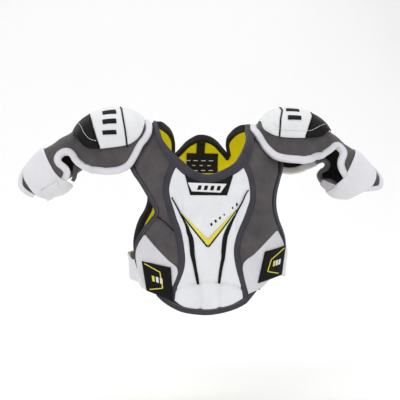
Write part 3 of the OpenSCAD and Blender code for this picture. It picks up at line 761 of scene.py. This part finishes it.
def back_shape(grid, dist):
    """One sewn channel across each side of the back."""
    x, w = grid[..., 0], 2 * RIDGE_W - grid[..., 1]
    across = -1.4 * np.exp(-((w + 150 + 0.1 * np.abs(x)) / 2.2) ** 2) * (np.abs(x) > 42)
    return across * np.clip(dist / 6, 0, 1)


def spine_shape(grid, dist):
    """Ribs across the spine pad."""
    w = 2 * RIDGE_W - grid[..., 1]
    ribs = -1.5 * sum(np.exp(-((w - c) / 2.0) ** 2) for c in (-84, -116, -148, -180))
    return ribs * np.clip(dist / 5, 0, 1)


pad("back_pad", on_body, back_grid(), LINING_D, COVER_D, [GREY, YELLOW],
    nodes=["back_cover", "back_foam", "back_liner"], crown=1.2, radius=3.5, wrinkle=1.0, wrinkle_size=36,
    shape=back_shape)
SPINE = [(26, -210), (38, -150), (40, -90), (30, -50)]
pad("spine_pad_cover", on_body, between(back_w(SPINE), back_w([(-x, w) for x, w in SPINE]), 40, 70),
    COVER_D + 0.2, COVER_D + 4.2, [WHITE], nodes=["spine_pad"], crown=1.4, radius=3.0, wrinkle=0.4,
    shape=spine_shape)
neck_edge = [(-38.5, -45)] + [(x, w - 3) for x, w in BACK_ARCH] + [(48, -43)]
tape("back_neck_tape", on_body, back_w(neck_edge), -0.4, 5.4, TAPE_IN, COVER_D + 0.8, BLACK_TAPE,
     nodes=["back_neck_binding"], n=110, r=2.0)
tape("back_hem_tape", on_body, back_w(BACK_HEM), -7.0, 0.5, TAPE_IN, TAPE_OUT, GREY_TAPE,
     nodes=["back_hem_binding"], n=100, r=2.4)
for side, who, s in BOTH:
    edge = back_w([(s * x, w) for x, w in BACK_SIDE])
    tape(who + "_back_tape", on_body, edge, *sorted((s * 0.5, -s * 7.5)), TAPE_IN, TAPE_OUT, BLACK_TAPE,
         nodes=[who + "_back_binding"], n=110, r=2.4)
    stitches(who + "_back_stitches", on_body, edge, -s * 6.2, COVER_D + 1.1, THREAD_GREY)


def inside_back(name, xs, ws, *rest, **more):
    """A flat rectangle on the back's lining, between two x and two heights."""
    return flat_piece(name, [tuple(q) for q in back_w([(x, w) for x in xs for w in ws])], *rest, **more)


for name, node, xs, ws, low, top, flat in (
        ("inner_label_cloth", "inner_label", (31, -18), (-67.5, -31), -1.6, -0.1, (0.049, 0.037)),
        ("label_tape_cloth", "label_tape", (10, -3), (-33, -6), -2.0, -0.4, (0.013, 0.028))):
    label = inside_back(name, xs, ws, low, top, LABEL, nodes=[node], radius=0.5)
for j in range(3):
    odd = j % 2
    for i in range(4 - odd):
        x, w = 24 - 12 * i - 4 * odd, -44 - 9 * j
        inside_back("label_mark_%d_%d" % (j + 1, i + 1), (x, x - 7 + 2 * odd), (w - 1.4, w), -2.2, -1.4,
                    INK_WHITE, radius=0.3, n=4)

# ---- Shoulder yokes ----
for side, who, s in BOTH:
    rim = YOKE_EDGE[side]
    inner = [(x + s * 3.0, w) for x, w in [(rim[0][0], 30)] + rim[1:-1] + [(rim[-1][0], 143)]]
    outer = [(s * 97, w) for x, w in inner]
    pad(who + "_yoke_pad", on_body, between(*[outer, inner][::-s], 30, 60), 0.7, 8.6, [GREY, YELLOW],
        nodes=[who + "_yoke", who + "_yoke_liner"], crown=0.6, radius=3.0, wrinkle=0.6)
    tape(who + "_yoke_tape", on_body, rim, *sorted((s * 0.6, -s * 5.6)), TAPE_IN, 10.8, BLACK_TAPE, n=70,
         r=2.2, narrow=((0, 0.6), (0.12, 1), (1, 1)))


# ---- Side straps ----
# Plan of each elastic from the tab to the anchor, as (x, y)
ELASTIC_PATH = (
    [(-84.5, -69), (-92, -64), (-104.5, -47), (-107, -17), (-108, 12), (-109.5, 32), (-106.5, 46),
     (-97.5, 57.5)],
    [(113, -47), (120.5, -37.5), (125.5, -27), (126, -8), (123, 12), (117, 32), (109, 46), (97.5, 57.5)])
STRAP_LEAN = (16.0, 4.0)  # how far the elastic's lower edge lies nearer the body at the side
STRAP_TOP = ((-194, -187), (-176, -186))  # height of its upper edge at the tab and at the anchor
STRAP_H = 42.0
# Corners of each hook tab: left bottom, left top, right bottom, right top
TABS = (((-78, -235.5), (-84, -193), (-44, -249), (-47, -201)),
        ((69, -226), (79, -180.5), (103, -217), (109, -174)))
# Bends of the yellow line on each tab, and the first bar and the step between bars, as shares of the tab
TAB_LINE = (((0.10, 0.94), (0.61, 0.78), (0.65, 0.29), (0.15, 0.10)),
            ((0.92, 0.94), (0.35, 0.68), (0.29, 0.31), (0.80, 0.12)))
TAB_BARS = ((0.30, 0.14), (0.48, 0.12))


def strap_skin(side):
    """(distance along the strap, height up it) on a band standing on its plan curve."""
    path = ELASTIC_PATH[side]

    def skin(p, d):
        q, h = p[..., 0], p[..., 1]
        ahead = unit(along(path, np.minimum(q + 0.01, 1)) - along(path, np.maximum(q - 0.01, 0)))
        out = np.stack([ahead[..., 1], -ahead[..., 0]], -1) * (-1 if side == 0 else 1)
        top = STRAP_TOP[side][0] + (STRAP_TOP[side][1] - STRAP_TOP[side][0]) * q
        lean = STRAP_LEAN[side] * np.sin(math.pi * np.minimum(q * 1.15, 1)) * (1 - h)
        xy = along(path, q) + out * (d - lean)[..., None]
        return np.concatenate([xy, (top - STRAP_H * (1 - h))[..., None]], -1)
    return skin


def on_tab(side, f, g):
    """Place on the tab at f across and g up."""
    left_low, left_top, right_low, right_top = np.array(TABS[side], float)
    return tuple((1 - f) * ((1 - g) * left_low + g * left_top) + f * ((1 - g) * right_low + g * right_top))


for side, who, s in BOTH:
    body = who + "_strap"
    grid = np.stack(np.meshgrid(np.linspace(0, 1, 50), steps(16, 0.4)), -1)
    elastic = pad(who + "_elastic_band", strap_skin(side), grid[:, ::s], -0.9, 1.2, [ELASTIC], body,
                  nodes=[who + "_side_elastic"], radius=0.9, wrinkle=0.5, wrinkle_size=18)
    flat_piece(who + "_tab", TABS[side], COVER_D + 2.2, COVER_D + 5.4, RUBBER, body,
               nodes=[who + "_hook_tab"], radius=1.5, n=22)
    bends = [on_tab(side, *q) for q in TAB_LINE[side]]
    for k, ends in enumerate(zip(bends[:-1], bends[1:])):
        ink_line(who + "_tab_line_%d" % (k + 1), line(*ends), [1.3, 1.3], INK_YELLOW, COVER_D + 5.9, body, 12)
    for i in range(3):
        f = TAB_BARS[side][0] + TAB_BARS[side][1] * i
        corners = [on_tab(side, x, y) for x in (f, f + 0.09) for y in (0.42, 0.60)]
        flat_piece(who + "_tab_bar_%d" % (i + 1), corners, COVER_D + 5.2, COVER_D + 5.9,
                   INK_YELLOW if i == 0 else INK_WHITE, body, radius=0.3, n=4)
    anchor = inside_back(who + "_anchor_patch", (98 * s, 84 * s)[::s], (-230, -189), COVER_D + 0.6,
                         COVER_D + 2.6, BEIGE, nodes=[who + "_strap_anchor"], radius=0.9)


# ---- Shoulder caps ----
def edge_angle(u, edge, keep=400):
    """Angle of a cap edge at a distance out."""
    q = along(edge, np.linspace(0, 1, 300))
    rising = np.maximum.accumulate(q[:, 1])
    return np.minimum(np.interp(u, rising, q[:, 0]), keep)


def cap_panel(name, side, inner, outer, high, mat, nodes=()):
    """A cover panel of the cap between two seams, each a function of the angle giving the distance out."""
    f = steps(70, 0.4)
    rows = []
    for k in steps(44, 0.4):
        a = -96 + 196 * f
        for _ in range(4):  # the panel's ends follow the cap's edge where this row meets it
            u = inner(a) + (outer(a) - inner(a)) * k
            front, rear = edge_angle(u[-1], CAP_EDGE[side]), edge_angle(u[0], CAP_EDGE[side], 96)
            a = -rear + (front + rear) * f
        rows.append(np.stack([a, inner(a) + (outer(a) - inner(a)) * k], -1))
    return pad(name, on_dome(side), np.array(rows), -4.0, high, [mat, MESH], SIDES[side] + "_cap", side,
               nodes, crown=0.8, radius=2.6, wrinkle=0.35, wrinkle_size=24)


def seam(points):
    """Distance out as a function of the angle."""
    a, u = zip(*points)
    return lambda angle: np.interp(angle, a, u)


# The two seams of each cap: distance out at angles from the rear to the front
CAP_SEAMS = (
    (seam([(-96, 112), (-60, 117), (0, 121), (46, 118), (70, 115), (98, 112)]),
     seam([(-96, 152), (-60, 160), (0, 167), (26, 166), (58, 162), (80, 157), (100, 151)])),
    (seam([(-96, 108), (-60, 112), (0, 118), (44, 117), (65, 112), (81, 110), (98, 108)]),
     seam([(-96, 148), (-60, 156), (0, 164), (53, 161), (70, 156), (86, 151), (100, 146)])))
CAP_STITCHES = (
    [(-60, 176), (0, 186), (35, 181), (55, 177), (68, 174), (82, 166), (87, 153)],
    [(70, 100), (83, 108), (87, 118), (88, 133), (88, 146), (86, 157), (75, 170), (62, 180)])
# Angles of the bars' upper and lower edges, and the bars' ends
CAP_BARS = (((28, 44), (50, 64), (70, 82)), ((40, 54), (60, 74)))
CAP_BAR_ENDS = ((128, 148), (123, 143))
for side, who in enumerate(SIDES):
    body, dome, (first, second) = who + "_cap", on_dome(side), CAP_SEAMS[side]
    cap_panel(who + "_cap_inner_panel", side, seam([(-96, 86), (96, 86)]), lambda a: first(a) - 0.6, -0.4,
              CAP_WHITE, [who + "_cap_shell"])
    cap_panel(who + "_cap_middle_panel", side, lambda a: first(a) + 0.6, lambda a: second(a) - 0.6, 0.0,
              CAP_WHITE)
    cap_panel(who + "_cap_outer_panel", side, lambda a: second(a) + 0.6,
              seam([(-96, 186), (0, 192), (96, 189)]), -0.3, BLACK)
    for k, edge in enumerate((first, second)):
        a = np.linspace(-94, 97, 60)
        tape(who + "_cap_seam_%d" % (k + 1), dome, np.stack([a, edge(a)], 1), -0.9, 0.9, -2.0, 0.3, INK_BLACK,
             body, side, n=80, r=0.6)
    stitches(who + "_cap_stitches", dome, CAP_STITCHES[side], 0, 0.7, THREAD_WHITE, body, side, pitch=4.2,
             length=3.2, wide=0.9)
    lo, hi = CAP_BAR_ENDS[side]
    for k, (top, foot) in enumerate(CAP_BARS[side]):
        corners = ((top, lo), (top, hi), (foot - 5, lo - 1), (foot - 5, hi - 1))
        flat_piece(who + "_cap_bar_%d" % (k + 1), corners, 0.2, 1.5, INK_BLACK, body, dome, radius=0.5,
                   side=side, n=10)

# ---- Sleeves: one grey cloth on each side from under the cap down the arm to the cuff ----
# Paired points of the front and rear edges, as (degrees from the top, distance out)
SLEEVE_FRONT = (
    [(27, 82), (55, 81), (80, 87), (95, 95), (112, 103), (125, 111), (133, 125), (136, 145), (141, 155),
     (148, 168), (139, 179), (123, 184), (112, 186), (100, 187), (86, 187), (73, 189), (64, 194), (63, 199),
     (68, 204), (77, 207), (89, 207), (102, 205), (116, 204), (128, 207), (137, 212), (139, 227), (135, 243),
     (128, 259)],
    [(60, 75), (76, 78), (90, 81), (99, 85), (109, 89), (119, 95), (128, 104), (132, 117), (134, 134),
     (137, 149), (139, 157), (132, 173), (111, 179), (94, 182), (76, 184), (64, 188), (64, 193), (72, 199),
     (86, 201), (98, 202), (110, 205), (119, 210), (126, 217), (131, 223), (133, 229), (132, 236), (130, 242),
     (126, 248)])
SLEEVE_REAR = (
    [(-30, 83), (-66, 86), (-88, 93), (-100, 103), (-107, 113), (-110, 123), (-110, 134), (-111, 144),
     (-113, 153), (-118, 164), (-122, 174), (-126, 181), (-129, 187), (-130, 193), (-131, 199)]
    + [(-132, s) for s in (205, 210, 215, 220, 224, 228, 231, 234, 237, 239, 242, 244)],
    [(-30, 78), (-60, 80), (-80, 84), (-94, 92), (-106, 106), (-114, 119), (-119, 131), (-122, 145),
     (-128, 156), (-132, 167), (-124, 177), (-103, 184), (-90, 187), (-81, 190), (-79, 194), (-82, 198),
     (-90, 200), (-100, 200), (-110, 198), (-123, 198), (-131, 201), (-137, 205), (-139, 212), (-140, 219),
     (-140, 226), (-138, 232), (-136, 238), (-134, 242)])
# Length along the arm of the cuff's end, from the rear round to the front
CUFF_END = (
    [(-132, 56), (-90, 60), (0, 61), (20, 62), (41, 70), (68, 78), (88, 82), (107, 80), (128, 74)],
    [(-134, 58), (-90, 56), (0, 53), (30, 60), (43, 71), (64, 79), (94, 82), (112, 74), (126, 66)])
WHITE_FROM, WHITE_TO = 11, 24  # points of the rear and front edges between which the binding is white


def bend_sleeve(piece):
    """Bakes a piece's placement into its mesh."""
    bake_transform(piece)


def sleeve_shape(grid, dist):
    """Soft folds where the cloth turns from the cap to the arm."""
    a, s = grid[..., 0], grid[..., 1]
    near = np.exp(-((s - 186) / 16) ** 2) * np.clip(dist / 10, 0, 1)
    return 0.9 * near * np.sin((s + 0.25 * a) / 4.2)


for side, who in enumerate(SIDES):
    skin, front, rear = on_sleeve(side), SLEEVE_FRONT[side], SLEEVE_REAR[side]
    cuff = [(a, float(sleeve_s(t))) for a, t in CUFF_END[side]]
    grid = coons(rear, front, line(rear[0], front[0]), [rear[-1]] + cuff[1:-1] + [front[-1]], 80, 156, 0.0)
    (a0, u0), (a1, u1) = rear[0], front[0]
    neck_end = [(a, u0 + (u1 - u0) * (a - a0) / (a1 - a0)) for a in (-15, 0, 15, 30)]
    rim = rear[WHITE_FROM::-1] + neck_end + front[:WHITE_TO + 1]
    bend_sleeve(pad(who + "_sleeve_cloth", skin, grid, 0.0, 6.0, [GREY, MESH], None, side,
                    [who + "_cap_skirt", who + "_arm_bridge", who + "_guard_pad", who + "_guard_liner"],
                    crown=0.4, radius=2.4, wrinkle=0.8, wrinkle_size=30, shape=sleeve_shape))
    bend_sleeve(tape(who + "_skirt_tape", skin, rim, -5.2, 5.2, -1.4, 7.9, WHITE_TAPE, None, side,
                     [who + "_cap_binding"], n=300, r=2.8, steady=18))
    bend_sleeve(stitches(who + "_skirt_stitches", skin, rim, 3.6, 7.9, THREAD_WHITE, None, side,
                         slot="binding_white", steady=18))
    # The rear binding takes the lighter copy of the tape: painted light on a tape that lies in shade
    bend_sleeve(tape(who + "_rear_tape", skin, rear[WHITE_FROM:-1], -4.0, 4.0, -1.2, 7.4, PAINTED_LIGHT_TAPE, None,
                     side, n=140, r=2.4))
    tape(who + "_cuff_tape", on_arm(side), CUFF_END[side], -3.5, 3.5, GUARD_IN - 0.6, GUARD_R + 2.4,
         WHITE_TAPE, who + "_arm", side, [who + "_cuff_binding"], n=100, r=2.4)


def arm_band(side, who, near, far, bulge, sag):
    """A closed elastic band round the arm, from length near to far (each a function of the angle)."""
    arm, r0 = on_arm(side), GUARD_R + 2.2
    na, nt = 160, 40
    ang = np.linspace(-180, 180, na + 1)[:-1]
    f = steps(nt, 0.3)
    lo, wide = near(ang)[:, None], (far(ang) - near(ang))[:, None]
    aa = np.repeat(ang[:, None], nt + 1, 1)
    grid = np.stack([aa, lo + wide * f[None]], -1)
    base = arm(grid, np.full(aa.shape, r0))
    soft = soft_noise(base, 26, 3.0) * 1.2 + soft_noise(base, 10, 5.0) * 0.4
    edge = np.minimum(f, 1 - f)[None] * wide
    swell = bulge(aa) * np.sin(math.pi * f)[None] ** 0.8 + sag(aa) * (1 - f)[None]
    mid = r0 + swell + soft * np.clip(edge / 6, 0, 1)
    half = BAND_THICK / 2 * round_edge(edge, 1.2)
    verts = np.vstack([arm(grid, mid - half).reshape(-1, 3), arm(grid, mid + half).reshape(-1, 3)])
    count, row = na * (nt + 1), nt + 1
    faces, uvs = [], []
    arc = math.radians(360 / na) * r0 * MM
    for i in range(na):
        j = (i + 1) % na
        for k in range(nt):
            ids = [i * row + k, j * row + k, j * row + k + 1, i * row + k + 1]
            v0, v1 = f[k] * 0.05, f[k + 1] * 0.05
            uv = [(i * arc, v0), ((i + 1) * arc, v0), ((i + 1) * arc, v1), (i * arc, v1)]
            faces += [[count + q for q in ids], ids[::-1]]
            uvs += [uv, uv[::-1]]
        for k in (0, nt):
            ids = [i * row + k, j * row + k, count + j * row + k, count + i * row + k]
            faces.append(ids if k == 0 else ids[::-1])
            uvs.append([(i * arc, 0), ((i + 1) * arc, 0), ((i + 1) * arc, 0.001), (i * arc, 0.001)])
    return make(who + "_arm_band", verts, faces, uvs, None, [ELASTIC], who + "_arm", side,
                [who + "_arm_elastic"])


def smooth_ring(points):
    """A smooth periodic function of the angle through (angle, value) points."""
    a, v = zip(*points)
    fine = np.arange(-180, 180, 2.0)
    q = np.interp(fine, a, v, period=360)
    kernel = np.hanning(13)
    q = np.convolve(np.r_[q[-6:], q, q[:6]], kernel / kernel.sum(), "valid")
    return lambda angle: np.interp(angle, fine, q, period=360)


# Length along the arm of each elastic's two edges, at angles from the top
BAND_NEAR = (
    [(-150, 30), (-90, 26), (0, 25), (63, 29), (95, 30), (118, 28), (130, 25), (145, 20), (165, 17),
     (182, 20), (200, 28)],
    [(-150, 30), (-90, 24), (0, 21), (50, 24), (87, 26), (110, 28), (133, 30), (150, 28), (165, 27),
     (186, 24), (200, 24)])
BAND_FAR = (
    [(-150, 54), (-90, 57), (0, 59), (20, 60), (47, 69), (71, 73), (95, 73), (119, 72), (133, 70), (155, 64),
     (180, 55)],
    [(-150, 60), (-90, 58), (0, 50), (30, 52), (48, 57), (62, 68), (87, 71), (108, 72), (124, 69), (148, 63),
     (173, 60)])
# How far each band swells in its middle, and how far its near edge sags
BAND_BULGE = (
    [(-90, 1.0), (0, 0.4), (90, 1.6), (150, 3.0), (180, 5.0)],
    [(-90, 0.8), (0, 0.3), (90, 1.8), (150, 4.5), (180, 6.0)])
BAND_SAG = (
    [(0, 0.0), (125, 0.0), (165, 4.0), (215, 2.0), (240, 0.0)],
    [(0, 0.0), (128, 0.0), (160, 5.0), (186, 12.0), (214, 5.0), (240, 0.0)])
# Each strap end: its two edges as (angle, length), height over the guard, flat size and cloth
# Side 1's strap end is coloured with the lilac copy of the elastic, which is painted shade for its inner face
STRAP_ENDS = (
    ([(120, 34), (120, 60)], [(172, 40), (172, 62)], 5.2, (0.030, 0.034), ELASTIC),
    ([(151, 26), (184, 24)], [(160, 6), (178, 9)], 12.6, (0.024, 0.017), ELASTIC_PAINTED_SHADE))
for side, who in enumerate(SIDES):
    rings = [smooth_ring(q[side]) for q in (BAND_NEAR, BAND_FAR, BAND_BULGE, BAND_SAG)]
    arm_band(side, who, *rings)
    left, right, lift, flat, mat = STRAP_ENDS[side]
    flap = pad(who + "_arm_strap_end", on_arm(side), between(left, right, 24, 16)[:, ::-1], GUARD_R + lift,
               GUARD_R + lift + 1.8, [mat], who + "_tab", side, [who + "_arm_tab"], "elastic_beige",
               radius=0.9)
# The grey gusset under the wearer's right arm, which shows inside the notch
gusset = between([(113, 193), (138, 200), (165, 206)], [(130, 188), (139, 193), (167, 204)], 20, 12)
bend_sleeve(pad("right_guard_gusset", on_sleeve(0), gusset[:, ::-1], -5.5, -2.5, [GREY], None, 0, radius=1.4))


# ---- Floor, light and camera ----
FLOOR_Z = -0.42


def stage():
    """A pale floor that curves up into a wall behind the object."""
    curve = [(1.2 + 0.8 * math.sin(math.radians(a)), 0.8 - 0.8 * math.cos(math.radians(a)))
             for a in range(10, 91, 10)]
    profile = [(-3.0, 0.0), (1.2, 0.0)] + curve + [(2.0, 3.5)]
    verts = [(x, y, FLOOR_Z + z) for x in (-4.0, 4.0) for y, z in profile]
    k = len(profile)
    mesh = bpy.data.meshes.new("floor")
    mesh.from_pydata(verts, [], [(i, i + 1, k + i + 1, k + i) for i in range(k - 1)])
    mesh.polygons.foreach_set("use_smooth", [True] * len(mesh.polygons))
    m, nt, shader = material("studio_floor")
    tint = noise_at(nt, put(nt, "ShaderNodeTexCoord").outputs["Object"], 3.0)
    nt.links.new(mix_colour(nt, tint, (0.92, 0.92, 0.92), (0.95, 0.95, 0.95)), shader.inputs["Base Color"])
    shader.inputs["Roughness"].default_value = 0.9
    mesh.materials.append(m)
    show("floor", mesh)


def light(name, place, target_z, size, power):
    data = bpy.data.lights.new(name, "AREA")
    data.shape, data.size, data.energy = "DISK", size, power
    obj = show(name, data)
    obj.location = place
    obj.rotation_euler = (Vector((0, 0, target_z)) - Vector(place)).to_track_quat("-Z", "Y").to_euler()


def camera():
    """100 mm lens, 1.67 m away, a little to the wearer's right of the middle and just above level."""
    azimuth, elevation, away, span = math.radians(-5), math.radians(2), 1.67, 0.6
    ahead = Vector((-math.sin(azimuth) * math.cos(elevation), math.cos(azimuth) * math.cos(elevation),
                    -math.sin(elevation)))
    data = bpy.data.cameras.new("camera")
    data.sensor_width = 36.0
    data.lens = data.sensor_width * away / span
    obj = show("camera", data)
    obj.location = Vector((-0.002, 0, -0.108)) - ahead * away
    obj.rotation_euler = ahead.to_track_quat("-Z", "Y").to_euler()
    bpy.context.scene.camera = obj


stage()
light("key", (-1.1, -1.7, 1.5), -0.12, 1.6, 15)
light("fill", (1.5, -1.5, 0.6), -0.12, 1.8, 7)
light("top", (0, 0.4, 1.9), -0.1, 1.6, 12)
light("back_left", (-1.2, 1.2, 0.9), -0.1, 1.2, 5)
light("back_right", (1.2, 1.2, 0.9), -0.1, 1.2, 5)
camera()
world = bpy.data.worlds.new("studio")
world.use_nodes = True
background = world.node_tree.nodes["Background"]
background.inputs[0].default_value = (1, 1, 1, 1)
background.inputs[1].default_value = 0.62
bpy.context.scene.world = world
bpy.context.scene.view_settings.view_transform = "Standard"
